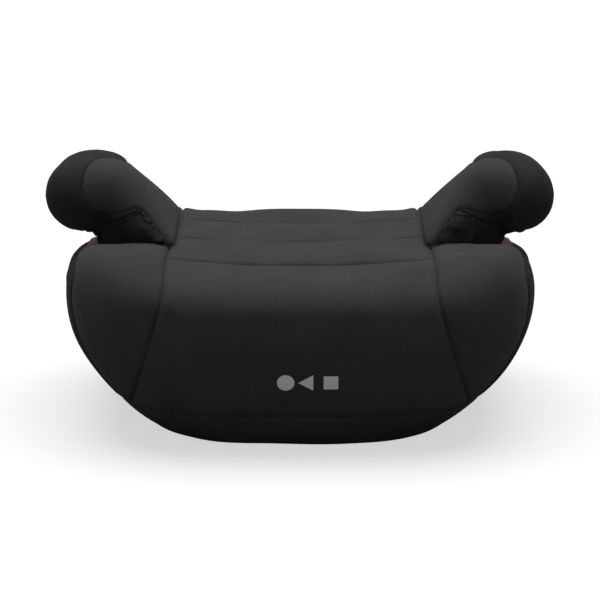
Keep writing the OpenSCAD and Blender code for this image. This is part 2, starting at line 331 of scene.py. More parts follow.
def link_piece(name, bm, scale=MM):
    """A piece at the origin from a draft in millimetres."""
    bmesh.ops.scale(bm, vec=(scale,) * 3, verts=bm.verts)
    for face in bm.faces:
        face.smooth = True
    mesh = bpy.data.meshes.new(name)
    bm.to_mesh(mesh)
    bm.free()
    piece = bpy.data.objects.new(name, mesh)
    bpy.context.scene.collection.objects.link(piece)
    return piece


def drop_piece(piece):
    """Takes a helper piece apart again and returns its finished mesh as a draft."""
    shaped = piece.evaluated_get(bpy.context.evaluated_depsgraph_get())
    bm = bmesh.new()
    bm.from_mesh(shaped.to_mesh())
    shaped.to_mesh_clear()
    mesh = piece.data
    bpy.data.objects.remove(piece)
    bpy.data.meshes.remove(mesh)
    return bm


def arm_draft(inset, voxel, rounds):
    """The right-hand armrest's form as one even, softened skin."""
    head = bmesh.new()
    for x, y, z, r in head_balls:
        bmesh.ops.create_uvsphere(head, u_segments=48, v_segments=24, radius=r - inset,
                                  matrix=Matrix.Translation((x, y, z)))
    pillar = bmesh.new()
    for x, y, z, r in pillar_balls:
        bmesh.ops.create_uvsphere(pillar, u_segments=48, v_segments=24, radius=r - inset,
                                  matrix=Matrix.Translation((x, y, z)))
    scrap = bpy.data.meshes.new("pillar")
    hull_of(pillar).to_mesh(scrap)
    pillar.free()
    hull_of(head).from_mesh(scrap)
    bpy.data.meshes.remove(scrap)
    block = link_piece("arm_block", head, 1.0)
    skin = block.modifiers.new("skin", "REMESH")
    skin.mode = "VOXEL"
    skin.voxel_size = voxel
    bm = drop_piece(block)
    for _ in range(rounds):
        bmesh.ops.smooth_vert(bm, verts=bm.verts[:], factor=0.5, use_axis_x=True, use_axis_y=True,
                              use_axis_z=True)
    slope = [v for v in bm.verts if v.co.z - v.co.x > 16]
    for _ in range(3 * rounds):
        bmesh.ops.smooth_vert(bm, verts=slope, factor=0.5, use_axis_x=True, use_axis_y=True,
                              use_axis_z=True)
    return bm


def mirrored(bm):
    """The same form for the other side."""
    other = bm.copy()
    bmesh.ops.scale(other, vec=(-1, 1, 1), verts=other.verts)
    bmesh.ops.reverse_faces(other, faces=other.faces[:])
    return other


def places(bm):
    return np.array([v.co for v in bm.verts]).reshape(-1, 3)


def height_over(tree, points, near):
    """How far each point lies outside a skin, where near says so, and 99 elsewhere."""
    height = np.full(len(points), 99.0)
    for i in np.flatnonzero(near):
        point = Vector(points[i])
        spot, normal, _, distance = tree.find_nearest(point)
        height[i] = math.copysign(distance, (point - spot).dot(normal))
    return height


def cut_along(bm, value, snap=0.1, jump=40):
    """Cuts the faces where value, one number for each vertex, changes sign without a jump."""
    on_line = [v for v in bm.verts if abs(value[v.index]) <= snap]
    for edge in bm.edges[:]:
        a, b = edge.verts
        low, high = value[a.index], value[b.index]
        if low * high < 0 and min(abs(low), abs(high)) > snap and abs(low - high) < jump:
            on_line.append(bmesh.utils.edge_split(edge, a, low / (low - high))[1])
    if on_line:
        bmesh.ops.connect_verts(bm, verts=on_line)
    bm.verts.index_update()
    return on_line


# ---------------------------------------------------------------------------------------
# The foam: a pad of cut polyurethane that lies in the shell's pan, and a moulded wrap glued
# round each armrest core. All of it is covered.
# ---------------------------------------------------------------------------------------
def foam_material():
    """Cream open-celled foam: pores darkened by painted shade in their hollows, over uneven tone."""
    made, tree, inputs = new_material("foam_cream", 0.95)
    place = object_vector(tree)
    cells = tree.nodes.new("ShaderNodeTexVoronoi")
    cells.inputs["Scale"].default_value = 1100.0
    tree.links.new(place, cells.inputs["Vector"])
    uneven = place_group(tree, MOTTLE, Vector=place, Patches=40.0, Specks=700.0, Amount=0.3)
    # The pores' darkness follows the hollows of the bump: painted shade.
    pores = calculate(tree, "MULTIPLY_ADD", cells.outputs["Distance"], 0.5, 0.7)
    tint(tree, (0.62, 0.56, 0.40), calculate(tree, "MULTIPLY", pores, uneven["Tone"]), inputs["Base Color"])
    emboss(tree, cells.outputs["Distance"], 0.0006, inputs["Normal"])
    return made


foam_cream = foam_material()
cover_gap, cover_room = 6.6, 5.0
seat_pad_half_w, seat_pad_half_d, seat_pad_t = 97, 152, 7.0
wrap_t = 3.2

fine_steps = 236
body = body_draft(fine_steps)
body.normal_update()
body_tree = BVHTree.FromBMesh(body)


def thickened(bm, thickness, rounds):
    """The draft as a closed slab below its own face, with its rims softened."""
    slab = link_piece("slab", bm, 1.0)
    wall = slab.modifiers.new("thickness", "SOLIDIFY")
    wall.thickness = thickness
    wall.offset = -1
    closed = drop_piece(slab)
    for _ in range(rounds):
        bmesh.ops.smooth_vert(closed, verts=closed.verts[:], factor=0.5, use_axis_x=True,
                              use_axis_y=True, use_axis_z=True)
    return closed


def finish_piece(piece, material, stands_for):
    """Gives a piece its material and its place on the seat, and hides the parts it stands for."""
    piece.data.materials.append(material)
    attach(piece, "root")
    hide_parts(*stands_for)
    return piece


pad = bmesh.new()
bmesh.ops.create_grid(pad, x_segments=60, y_segments=90, size=1)
for v in pad.verts:
    round_off = 1 - 0.06 * (v.co.x * v.co.y) ** 4
    v.co.x *= seat_pad_half_w * round_off
    v.co.y *= seat_pad_half_d * round_off
    v.co.z = body_tree.ray_cast(Vector((v.co.x, v.co.y, 300)), Vector((0, 0, -1)))[0].z - cover_gap
seat_pad = link_piece("seat_foam_pad", thickened(pad, seat_pad_t, 3))
finish_piece(seat_pad, foam_cream, ["seat_foam"])

arm = {"right": arm_draft(0, 2.6, 10)}
arm["left"] = mirrored(arm["right"])
arm_tree = {side: BVHTree.FromBMesh(bm) for side, bm in arm.items()}
wrap = arm_draft(cover_gap, 3.6, 6)
sunk = height_over(body_tree, places(wrap), places(wrap)[:, 2] < 185) + cover_gap + 3
cut_along(wrap, sunk)
at = np.array([f.calc_center_median() for f in wrap.faces])
sunk = height_over(body_tree, at, at[:, 2] < 185) + cover_gap + 3
bmesh.ops.delete(wrap, geom=[f for f, h in zip(wrap.faces[:], sunk) if h < 0], context="FACES")
for v in wrap.verts:
    spot, normal, _, distance = arm_tree["right"].find_nearest(v.co)
    if (v.co - spot).dot(normal) > -cover_room:
        v.co = spot - cover_room * normal
wrap = thickened(wrap, wrap_t, 1)
for side, draft in (("left", mirrored(wrap)), ("right", wrap)):
    piece = link_piece(f"armrest_foam_wrap_{side}", draft)
    finish_piece(piece, foam_cream, [f"head_foam_{side}", f"pillar_foam_{side}"])

# ---------------------------------------------------------------------------------------
# The sewn cover of the body: charcoal ribbed knit laminated to thin foam, cut into panels.
# Plain seams, sewn face to face and turned, pull the padding in along every edge.
# ---------------------------------------------------------------------------------------
hem_seam_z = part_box("cover_hem_band")[1].z / MM
rear_seam_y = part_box("cover_seat_rear")[0].y / MM
middle_seam_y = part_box("cover_seat_middle")[0].y / MM
front_seam_y = -120
back_seam_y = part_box("cover_seat_rear")[1].y / MM
back_seam_x = 150
gusset_x, gusset_z = 186, 116
shoulders = (1.3, 3.4)


def strip_edge(z):
    """Half width of the middle strip: straight over the seat, and spreading down the front."""
    below = (138 - z) / 106
    return 109 + 16.5 * (below + np.hypot(below, 0.1))


def wing_edge(z):
    """Where each wing ends: upright at the side, moving back to the crest of its top."""
    return -112 + 32 * step(z, 136, 157)


def body_seams(at):
    """One signed distance for each seam line, at those places, pushed far off where the line stops."""
    x, y, z = np.abs(at[:, 0]), at[:, 1], at[:, 2]
    strip = x < 130
    lines = {
        "hem": (z - hem_seam_z, z > -99),
        "strip": (x - np.where(y < 0, strip_edge(z), 109.5), y < back_seam_y + 6),
        "rear": (y - rear_seam_y, strip),
        "middle": (y - middle_seam_y, strip),
        "front": (y - front_seam_y, strip & (z > 100)),
        "back": (y - back_seam_y, x < 195),
        "corner": (x - back_seam_x, (y > 60) & ((z < 130) | (y > back_seam_y - 8))),
        "belt_floor": (z - gusset_z, (y > 60) & (x > 100)),
        "wing": (y - wing_edge(z), x > 90),
        "gusset": (x - gusset_x, (y > -110) & (z > 100)),
    }
    return {line: value + np.where(here, 0, np.copysign(99, value))
            for line, (value, here) in lines.items()}


PANELS = ["cover_hem_band", "cover_apron", "cover_seat_front", "cover_seat_middle", "cover_seat_rear",
          "cover_back", "cover_wing", "cover_side", "belt_gusset"]


def body_panel(at):
    """The number in PANELS of the panel at each place."""
    s = body_seams(at)
    y, z = at[:, 1], at[:, 2]
    rear = y > 60
    number = np.full(len(at), PANELS.index("cover_side"))
    above = np.where(rear, s["belt_floor"] > 0, z > 100)
    number[(s["gusset"] < 0) & above & (s["back"] < 0)] = PANELS.index("belt_gusset")
    number[s["wing"] < 0] = PANELS.index("cover_wing")
    behind = (s["belt_floor"] < 0) | (s["back"] > 0)
    number[rear & (s["corner"] < 0) & behind] = PANELS.index("cover_back")
    middle = (s["strip"] < 0) & (s["back"] < 0) & (z > 60 + 0.3 * y)
    number[middle] = PANELS.index("cover_seat_rear")
    number[middle & (y < rear_seam_y)] = PANELS.index("cover_seat_middle")
    number[middle & (y < middle_seam_y)] = PANELS.index("cover_seat_front")
    number[(s["strip"] < 0) & (y < front_seam_y)] = PANELS.index("cover_apron")
    number[z < hem_seam_z] = 0
    return number


def label_faces(bm, number_of):
    """Stores each face's panel number on the faces."""
    layer = bm.faces.layers.int.get("panel") or bm.faces.layers.int.new("panel")
    centres = np.array([f.calc_center_median() for f in bm.faces])
    for face, number in zip(bm.faces, number_of(centres)):
        face[layer] = int(number)
    return layer


def seam_verts(bm, layer):
    """The vertices between two panels, or on an open edge."""
    found = set()
    for edge in bm.edges:
        faces = edge.link_faces
        if len(faces) < 2 or faces[0][layer] != faces[1][layer]:
            found.update(edge.verts)
    return found


def pad_out(bm, points, puff, groove=2.9, width=1.8, reach=11.0):
    """Pulls the skin in along seam points and lets it swell between them."""
    tree = KDTree(len(points))
    for i, point in enumerate(points):
        tree.insert(point, i)
    tree.balance()
    bm.normal_update()
    moves = []
    for v in bm.verts:
        gap = tree.find(v.co)[2]
        pucker = noise.noise(v.co * 0.24) * 0.45 * math.exp(-gap / 5)
        drift = noise.noise(v.co * 0.021 + Vector((7, 3, 1))) * 0.9
        swell = puff[v] * (1 - math.exp(-gap / reach))
        moves.append(v.normal * (swell + drift * min(1, gap / 12) + pucker
                                 - groove * math.exp(-(gap / width) ** 1.3)))
    for v, move in zip(bm.verts, moves):
        v.co += move


def settle(bm, weights, cap, pressure=0.0, slack=0.0, bending=0.3, frames=20):
    """Lets a draft settle as cloth held by weights, and returns how far each point moved."""
    piece = link_piece("cloth", bm.copy())
    group = piece.vertex_groups.new(name="held")
    for i, weight in enumerate(weights):
        if weight > 0.02:
            group.add([i], float(weight), "REPLACE")
    cloth = piece.modifiers.new("cloth", "CLOTH")
    fabric = cloth.settings
    fabric.quality = 5
    fabric.mass = 0.15
    fabric.bending_stiffness = bending
    fabric.shrink_min = fabric.shrink_max = -slack
    fabric.effector_weights.gravity = 0
    fabric.vertex_group_mass = "held"
    fabric.use_pressure = pressure > 0
    fabric.uniform_pressure_force = pressure
    cloth.collision_settings.use_collision = False
    cloth.point_cache.frame_start, cloth.point_cache.frame_end = 1, frames
    scene = bpy.context.scene
    for frame_number in range(1, frames + 1):
        scene.frame_set(frame_number)
    settled = drop_piece(piece)
    move = places(settled) / MM - places(bm)
    settled.free()
    scene.frame_set(1)
    length = np.linalg.norm(move, axis=1, keepdims=True)
    return move * np.minimum(1, cap / np.maximum(length, 1e-9))


knit_pitch = 0.0021
course_pitch = 0.0016


def knit_group():
    """Ribbed knit on a flat map in metres: rounded wales of slanting stitches, and a tone darker in the
    valleys between wales, which is painted shade.
    """
    group, given, result = new_group(
        "knit",
        [("Vector", "Vector", None), ("Wale", "Float", knit_pitch), ("Course", "Float", course_pitch)],
        [("Height", "Float"), ("Tone", "Float")])
    wander = group.nodes.new("ShaderNodeTexNoise")
    wander.inputs["Scale"].default_value = 240.0
    group.links.new(given["Vector"], wander.inputs["Vector"])
    shift = group.nodes.new("ShaderNodeVectorMath")
    shift.operation = "MULTIPLY_ADD"
    shift.inputs[1].default_value = (0.0011, 0.0022, 0)
    group.links.new(wander.outputs["Color"], shift.inputs[0])
    group.links.new(given["Vector"], shift.inputs[2])
    split = group.nodes.new("ShaderNodeSeparateXYZ")
    group.links.new(shift.outputs[0], split.inputs[0])
    across = calculate(group, "FRACT", calculate(group, "DIVIDE", split.outputs[0], given["Wale"]))
    from_middle = calculate(group, "ABSOLUTE", calculate(group, "SUBTRACT", across, 0.5))
    fall = calculate(group, "MULTIPLY", calculate(group, "POWER", from_middle, 2.0), 4.0)
    wale = calculate(group, "SUBTRACT", 1.0, fall)
    slant = calculate(group, "MULTIPLY_ADD", from_middle, 1.6,
                      calculate(group, "DIVIDE", split.outputs[1], given["Course"]))
    stitch = calculate(group, "MULTIPLY_ADD",
                       calculate(group, "SINE", calculate(group, "MULTIPLY", slant, math.tau)), 0.5, 0.5)
    height = calculate(group, "MULTIPLY", wale, calculate(group, "MULTIPLY_ADD", stitch, 0.15, 0.85))
    group.links.new(height, result["Height"])
    # The tone follows the height, so the valleys between wales carry painted shade.
    group.links.new(calculate(group, "MULTIPLY_ADD", height, 0.18, 0.88), result["Tone"])
    return group


KNIT = knit_group()


def knit_material(name, colour, sheen):
    """Polyester knit: ribs and stitches, fibre fuzz, and a slightly uneven dye."""
    made, tree, inputs = new_material(name, 0.9, Sheen_Weight=sheen, Sheen_Roughness=0.45,
                                      Specular_IOR_Level=0.25)
    uv = tree.nodes.new("ShaderNodeUVMap")
    uv.uv_map = "weave"
    knit = place_group(tree, KNIT, Vector=uv.outputs[0])
    fuzz = place_group(tree, MOTTLE, Vector=object_vector(tree), Patches=28.0, Specks=1500.0, Amount=0.5)
    # The knit's tone holds painted shade in the valleys between wales; the fuzz's tone is random.
    tone = calculate(tree, "MULTIPLY", knit["Tone"], fuzz["Tone"])
    tint(tree, colour, tone, inputs["Base Color"])
    height = calculate(tree, "MULTIPLY_ADD", fuzz["Height"], 0.35, knit["Height"])
    emboss(tree, height, 0.00016, inputs["Normal"])
    return made


knit_face = knit_material("knit_face", (0.041, 0.041, 0.0422), 0.04)
# The darker knit for the side, outer armrest, gusset and hem panels: partly the cover's own darker panels,
# partly painted shade that darkens the sides.
knit_dark_with_painted_shade = knit_material("knit_dark_with_painted_shade", (0.020, 0.020, 0.0207), 0.02)


def lay_weave(piece, ribs):
    """Flattens a panel as its pattern piece, in metres, with the knit's wales along ribs."""
    bpy.context.view_layer.objects.active = piece
    piece.select_set(True)
    piece.data.uv_layers.new(name="weave")
    bpy.ops.object.mode_set(mode="EDIT")
    bpy.ops.mesh.select_all(action="SELECT")
    bpy.ops.uv.unwrap(method="CONFORMAL", margin=0.0)
    bpy.ops.object.mode_set(mode="OBJECT")
    piece.select_set(False)
    mesh = piece.data
    flat = np.empty(len(mesh.loops) * 2)
    mesh.uv_layers["weave"].uv.foreach_get("vector", flat)
    flat = flat.reshape(-1, 2) @ np.array([1, 1j])
    place = np.array([v.co for v in mesh.vertices])
    starts = np.array([p.loop_start for p in mesh.polygons])
    corners = np.array([loop.vertex_index for loop in mesh.loops])
    normals = np.array([p.normal for p in mesh.polygons])
    side = place[corners[starts + 1]] - place[corners[starts]]
    turned = flat[starts + 1] - flat[starts]
    along = np.array(ribs) - normals * (normals @ np.array(ribs))[:, None]
    along /= np.maximum(np.linalg.norm(along, axis=1), 0.2)[:, None]
    across = np.cross(along, normals)
    wanted = (side * across).sum(1) + 1j * (side * along).sum(1)
    fits = [(wanted * np.conj(t)).sum() / (np.abs(turned) ** 2).sum() for t in (turned, np.conj(turned))]
    mirror = abs(fits[1]) > abs(fits[0])
    size = np.median(np.abs(wanted) / np.maximum(np.abs(turned), 1e-9))
    fit = fits[mirror] / abs(fits[mirror]) * size
    flat = (np.conj(flat) if mirror else flat) * fit
    mesh.uv_layers["weave"].uv.foreach_set("vector", np.column_stack([flat.real, flat.imag]).ravel())


def lay_band(piece):
    """A flat map in metres for a band that goes round the seat, its wales upright."""
    mesh = piece.data
    layer = mesh.uv_layers.new(name="weave")
    reach = 0.165
    for face in mesh.polygons:
        middle = math.atan2(face.center.y, face.center.x)
        for i in face.loop_indices:
            place = mesh.vertices[mesh.loops[i].vertex_index].co
            turn = math.atan2(place.y, place.x)
            turn += math.tau * round((middle - turn) / math.tau)
            layer.uv[i].vector = (turn * reach, place.z - math.hypot(place.x, place.y))


def cut_out(bm, numbers, side=0):
    """A copy of the draft that keeps one panel."""
    panel = bm.copy()
    layer = panel.faces.layers.int["panel"]
    gone = [f for f in panel.faces if f[layer] not in numbers
            or side and f.calc_center_median().x * side < 0]
    bmesh.ops.delete(panel, geom=gone, context="FACES")
    for edge in panel.edges:
        edge.smooth = not edge.is_boundary
    return panel


def sew_panel(name, panel, material, stands_for, ribs, thickness=2.4):
    """Finishes a panel: flat map, thickness, material, and its place on the seat."""
    piece = finish_piece(link_piece(name, panel), material, stands_for)
    if ribs:
        lay_weave(piece, ribs)
    else:
        lay_band(piece)
    wall = piece.modifiers.new("thickness", "SOLIDIFY")
    wall.thickness = thickness * MM
    wall.offset = -1
    return piece


def over_arms(at):
    """How far the body's places lie outside the armrests."""
    height = np.full(len(at), 99.0)
    for side, sign in SIDES.items():
        near = (at[:, 0] * sign > 100) & (at[:, 2] > 105)
        height = np.minimum(height, height_over(arm_tree[side], at, near))
    return height


# The cover settles as cloth on a coarse copy of the body, sewn down along its seams. Its
# movement is evened out and laid over the fine draft.
coarse_steps = 118
even_rounds = 3
coarse = body_draft(coarse_steps)
at = places(coarse)
gap = np.min([np.abs(value) for value in body_seams(at).values()], axis=0)
held = np.exp(-(gap / 2.4) ** 2)
held[over_arms(at) < 2] = 1
held[at[:, 2] < hem_seam_z] = 1
moved = settle(coarse, held, 3.0, pressure=1.0, slack=0.004, bending=2.0)
coarse.free()
cells = coarse_steps
field = moved.reshape(cells + 1, cells + 1, 3)
for _ in range(even_rounds):
    field[1:-1, 1:-1] += (field[:-2, 1:-1] + field[2:, 1:-1] + field[1:-1, :-2] + field[1:-1, 2:]
                          - 4 * field[1:-1, 1:-1]) / 5
field *= 1 - held.reshape(cells + 1, cells + 1, 1)
fine = np.linspace(0, cells, fine_steps + 1)
low = np.minimum(fine.astype(int), cells - 1)
share = (fine - low)[:, None]
rows = field[low] * (1 - share[:, :, None]) + field[low + 1] * share[:, :, None]
full = rows[:, low] * (1 - share[None]) + rows[:, low + 1] * share[None]
for v, move in zip(body.verts, full.reshape(-1, 3)):
    v.co += Vector(move)

for line in body_seams(places(body)):
    for offset in (0, *shoulders, *(-s for s in shoulders)):
        body.verts.index_update()
        cut_along(body, body_seams(places(body))[line] - offset)

foot_points = []
tuck = 7
body.verts.index_update()
foot_points += [v.co.copy() for v in cut_along(body, over_arms(places(body)))]
cut_along(body, over_arms(places(body)) + tuck)
hidden = over_arms(np.array([f.calc_center_median() for f in body.faces])) < -tuck
bmesh.ops.delete(body, geom=[f for f, h in zip(body.faces[:], hidden) if h], context="FACES")

bmesh.ops.remove_doubles(body, verts=body.verts[:], dist=0.1)
bmesh.ops.dissolve_degenerate(body, edges=body.edges[:], dist=0.05)
body.normal_update()
panel_layer = label_faces(body, body_panel)
swell = {"cover_hem_band": 0.6, "cover_apron": 1.4, "cover_seat_front": 2.6, "cover_seat_middle": 2.6,
         "cover_seat_rear": 2.2, "cover_back": 1.2, "cover_wing": 1.4, "cover_side": 1.0,
         "belt_gusset": 0.3}
puff = {v: np.mean([swell[PANELS[f[panel_layer]]] for f in v.link_faces] or [0]) for v in body.verts}
seams = [v.co.copy() for v in seam_verts(body, panel_layer) if v.co.z > under_z + 3]
pad_out(body, seams + foot_points, puff)

ALONG_Y, UPRIGHT = Vector((0, 1, 0)), Vector((0, 0, 1))
for name, ribs, fill in (("cover_seat_rear", ALONG_Y, 0.6), ("cover_seat_middle", ALONG_Y, 0.7),
                         ("cover_seat_front", ALONG_Y, 0.7), ("cover_apron", UPRIGHT, 0.4),
                         ("cover_back", UPRIGHT, 0.4), ("cover_hem_band", None, 0.2)):
    panel = cut_out(body, [PANELS.index(name)])
    sew_panel(name.replace("cover_", "") + "_panel", panel, knit_face, [name], ribs)
for side, sign in SIDES.items():
    # The side panels take the darker knit, whose darkness is partly painted shade.
    for name, material in (("cover_wing", knit_face), ("cover_side", knit_dark_with_painted_shade)):
        panel = cut_out(body, [PANELS.index(name)], sign)
        sew_panel(name.replace("cover_", "") + f"_panel_{side}", panel, material,
                  [f"{name}_{side}"], UPRIGHT)

# ---------------------------------------------------------------------------------------
# The armrest covers: an inner panel that runs up the slope and wraps the nose inside a
# looped seam, and an outer panel of darker knit over the outside and underneath; that darkness is partly
# the knit's own and partly painted shade.
# ---------------------------------------------------------------------------------------
arm_under_x, arm_under_z = 175, 166
loop_x, loop_z = 158, 207
loop_w, loop_under, loop_over = 25, 25, 33
arm_top_x = 158
nose_y, loop_depth = -74, 78
seam_blend = 14
crease_low, crease_high = Vector((109, -73, 158)), Vector((146, -46, 192))
crease_lean = Vector((-0.30, 0.70, 0.65))


def crease_side(at):
    """Signed distance from the crease seam at the front of the slope, positive behind it."""
    run = (crease_high - crease_low).normalized()
    across = crease_lean - crease_lean.dot(run) * run
    return (at - np.array(crease_low)) @ np.array(across.normalized())


def arm_inner(at):
    """Positive on the inner panel: behind the crease and inside the top seam, or in the loop."""
    x, y, z = np.abs(at[:, 0]), at[:, 1], at[:, 2]
    flat = np.column_stack([x, y, z])
    slope = np.minimum(np.minimum(crease_side(flat), arm_top_x - x), z - (x + 18))
    loop_h = np.where(z > loop_z, loop_over, loop_under)
    loop = loop_w * (1 - np.sqrt(((x - loop_x) / loop_w) ** 2 + ((z - loop_z) / loop_h) ** 2
                                 + (np.maximum(y - nose_y, 0) / loop_depth) ** 2))
    corner = np.maximum(seam_blend - np.abs(slope - loop), 0)
    return np.maximum(slope, loop) + corner ** 2 / (4 * seam_blend)


def under_arm(at):
    """Height over the line, rising inwards, where the outer panel ends and the gusset starts."""
    return at[:, 2] - arm_under_z - 0.5 * np.maximum(arm_under_x - np.abs(at[:, 0]), 0)


def arm_panel(at):
    number = np.full(len(at), 1)
    number[under_arm(at) < 0] = 2
    number[arm_inner(at) > 0] = 0
    return number


arm_pieces = {}
for side, sign in SIDES.items():
    bm = arm[side]
    bm.verts.index_update()
    for offset in (0, *shoulders, *(-s for s in shoulders)):
        cut_along(bm, arm_inner(places(bm)) - offset)
        cut_along(bm, under_arm(places(bm)) - offset)
    at = places(bm)
    foot = cut_along(bm, height_over(body_tree, at, at[:, 2] < 185))
    foot_line = [v.co.copy() for v in foot]
    at = places(bm)
    cut_along(bm, height_over(body_tree, at, at[:, 2] < 185) + tuck)
    at = np.array([f.calc_center_median() for f in bm.faces])
    hidden = height_over(body_tree, at, at[:, 2] < 185) < -tuck
    bmesh.ops.delete(bm, geom=[f for f, h in zip(bm.faces[:], hidden) if h], context="FACES")
    arm_layer = label_faces(bm, arm_panel)
    arm_swell = [1.2, 1.0, 0.2]
    puff = {v: np.mean([arm_swell[f[arm_layer]] for f in v.link_faces] or [0]) for v in bm.verts}
    points = [v.co.copy() for v in seam_verts(bm, arm_layer) if v.co.z > 140]
    pad_out(bm, points + foot_line, puff, groove=1.5, width=1.5)
    for number, (name, material) in enumerate((("armrest_cover_inner", knit_face),
                                               ("armrest_cover_outer", knit_dark_with_painted_shade))):
        panel = cut_out(bm, [number])
        sew_panel(name.replace("cover_", "") + f"_panel_{side}", panel, material,
                  [f"{name}_{side}"], UPRIGHT)
    arm_pieces[side] = cut_out(bm, [2])
    bm.free()

# ---------------------------------------------------------------------------------------
# The belt gussets: unpadded knit in the gap under each armrest, cut long and bunched up.
# ---------------------------------------------------------------------------------------
gusset_sink = 0.8

for side, sign in SIDES.items():
    gusset = arm_pieces[side]
    bmesh.ops.remove_doubles(gusset, verts=gusset.verts[:], dist=0.4)
    for edge in gusset.edges:
        edge.smooth = not edge.is_boundary
    gusset.verts.index_update()
    held = [1.0 if v.is_boundary else 0.0 for v in gusset.verts]
    gusset.normal_update()
    for v, move in zip(gusset.verts, settle(gusset, held, 5.0, pressure=0.5, slack=0.22, bending=0.05)):
        inward = min(0, Vector(move).dot(v.normal) + gusset_sink)
        v.co += Vector(move) - inward * v.normal
    ledge = cut_out(body, [PANELS.index("belt_gusset")], sign)
    scrap = bpy.data.meshes.new("ledge")
    ledge.to_mesh(scrap)
    ledge.free()
    gusset.from_mesh(scrap)
    bpy.data.meshes.remove(scrap)
    piece = sew_panel(f"gusset_cloth_{side}", gusset, knit_dark_with_painted_shade, [f"belt_gusset_{side}"],
                      UPRIGHT, thickness=1.6)

# ---------------------------------------------------------------------------------------
# The hem: the cover's lower edge, turned in under the shell in an unpadded strip that the
# elastic gathers. The elastic is a round braid in the strip's inner edge, held by hooks.
# ---------------------------------------------------------------------------------------
hem_w = 23
hem_gathers = 104


def under_outline(share, inset):
    """A point of the hem line, share of the way round and inset from the fold."""
    turn = math.tau * share
    side_x, side_y = math.cos(turn), math.sin(turn)
    x, y = outline(np.array([side_x]), np.array([side_y]), np.array([float(fold_z)]), fold_in + inset)
    return float(x[0]), float(y[0])


strip = bmesh.new()
bmesh.ops.create_grid(strip, x_segments=624, y_segments=9, size=0.5)
for v in strip.verts:
    around, inward = v.co.x + 0.5, v.co.y + 0.5
    x, y = under_outline(around, hem_w * inward - 0.8)
    bunch = math.sin(math.tau * hem_gathers * around + 2.5 * noise.noise(Vector((x, y, 0)) * 0.03))
    lift = (1.1 * inward + 0.95 * bunch * inward ** 0.7
            + 0.8 * noise.noise(Vector((x, y, 5)) * 0.05) * inward)
    v.co = (x, y, under_z + 0.7 + lift)
bmesh.ops.remove_doubles(strip, verts=strip.verts[:], dist=0.01)
bmesh.ops.recalc_face_normals(strip, faces=strip.faces[:])
if sum(f.normal.z for f in strip.faces) > 0:
    bmesh.ops.reverse_faces(strip, faces=strip.faces[:])
hem_strip = sew_panel("under_hem_strip", strip, knit_dark_with_painted_shade, ["cover_under_hem"],
                      None, thickness=1.0)

braid, tree, inputs = new_material("braided_elastic", 0.8, Sheen_Weight=0.1)
place = object_vector(tree)
plait = tree.nodes.new("ShaderNodeTexVoronoi")
plait.inputs["Scale"].default_value = 900.0
tree.links.new(place, plait.inputs["Vector"])
# The braid is darker at the edges of each plait, in the dips of its bump: painted shade.
tint(tree, (0.035, 0.035, 0.037), calculate(tree, "MULTIPLY_ADD", plait.outputs["Distance"], -0.9, 1.2),
     inputs["Base Color"])
emboss(tree, plait.outputs["Distance"], -0.0006, inputs["Normal"])
elastic_r = 1.9
ring = bpy.data.curves.new("hem_elastic_ring", "CURVE")
ring.dimensions = "3D"
ring.bevel_depth = elastic_r * MM
ring.bevel_resolution = 3
route = ring.splines.new("POLY")
ring_points = 180
route.points.add(ring_points - 1)
for i, point in enumerate(route.points):
    x, y = under_outline(i / ring_points, hem_w + elastic_r - 0.6)
    point.co = (x * MM, y * MM, (under_z + 2.4) * MM, 1)
route.use_cyclic_u = True
elastic = bpy.data.objects.new("hem_elastic_ring", ring)
bpy.context.scene.collection.objects.link(elastic)
finish_piece(elastic, braid, ["hem_elastic"])
dress("hem_hooks", shell_plastic)

# ---------------------------------------------------------------------------------------
# The print on the apron: a plain disc, triangle and square, screen-printed in white ink.
# ---------------------------------------------------------------------------------------
mark_low, mark_high = (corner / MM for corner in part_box("printed_mark"))
mark_x, mark_z = (mark_low.x + mark_high.x) / 2, (mark_low.z + mark_high.z) / 2
mark_size = mark_high.z - mark_low.z
ink_t = 0.25

ink = mottled_material("white_ink", (0.80, 0.80, 0.80), 0.55, 60, 1500, 0.12, 0.00005)
apron_skin = cut_out(body, [PANELS.index("cover_apron")])
apron_tree = BVHTree.FromBMesh(apron_skin)
apron_skin.free()
mark = bmesh.new()
for offset, corners, turn, size in ((-1.4, 40, 0, 0.54), (0, 3, 90, 0.62), (1.4, 4, 45, 0.64)):
    middle = Matrix.Translation((mark_x + offset * mark_size, 0, mark_z))
    facing = Matrix.Rotation(math.pi / 2, 4, "X") @ Matrix.Rotation(math.radians(turn), 4, "Z")
    bmesh.ops.create_circle(mark, cap_ends=True, segments=corners, radius=size * mark_size,
                            matrix=middle @ facing)
bmesh.ops.triangulate(mark, faces=mark.faces[:])
for _ in range(4):
    bmesh.ops.subdivide_edges(mark, edges=[e for e in mark.edges if e.calc_length() > 1.2], cuts=1,
                              use_grid_fill=True)
for v in mark.verts:
    v.co.y = apron_tree.ray_cast(Vector((v.co.x, -400, v.co.z)), Vector((0, 1, 0)))[0].y - ink_t
bmesh.ops.recalc_face_normals(mark, faces=mark.faces[:])
if sum(f.normal.y for f in mark.faces) > 0:
    bmesh.ops.reverse_faces(mark, faces=mark.faces[:])
for edge in mark.edges:
    edge.smooth = not edge.is_boundary
print_piece = finish_piece(link_piece("printed_shapes", mark), ink, ["printed_mark"])
layer = print_piece.modifiers.new("thickness", "SOLIDIFY")
layer.thickness = 2 * ink_t * MM
layer.offset = -1
body.free()

# ---------------------------------------------------------------------------------------
# The guides themselves, shaped to the finished ledge: a tray along it with its inner edge
# turned up the side of the armrest, and its outer edge rolled down over the cover.
# ---------------------------------------------------------------------------------------
guide_low, guide_high = (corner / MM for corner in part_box("belt_guide_right"))
guide_front_y, guide_back_y = guide_low.y + 20, guide_high.y - 2
guide_wall_z, guide_outer_x = 141, guide_high.x + 4
guide_off, guide_t = 2.8, 2.2
fillet = 7

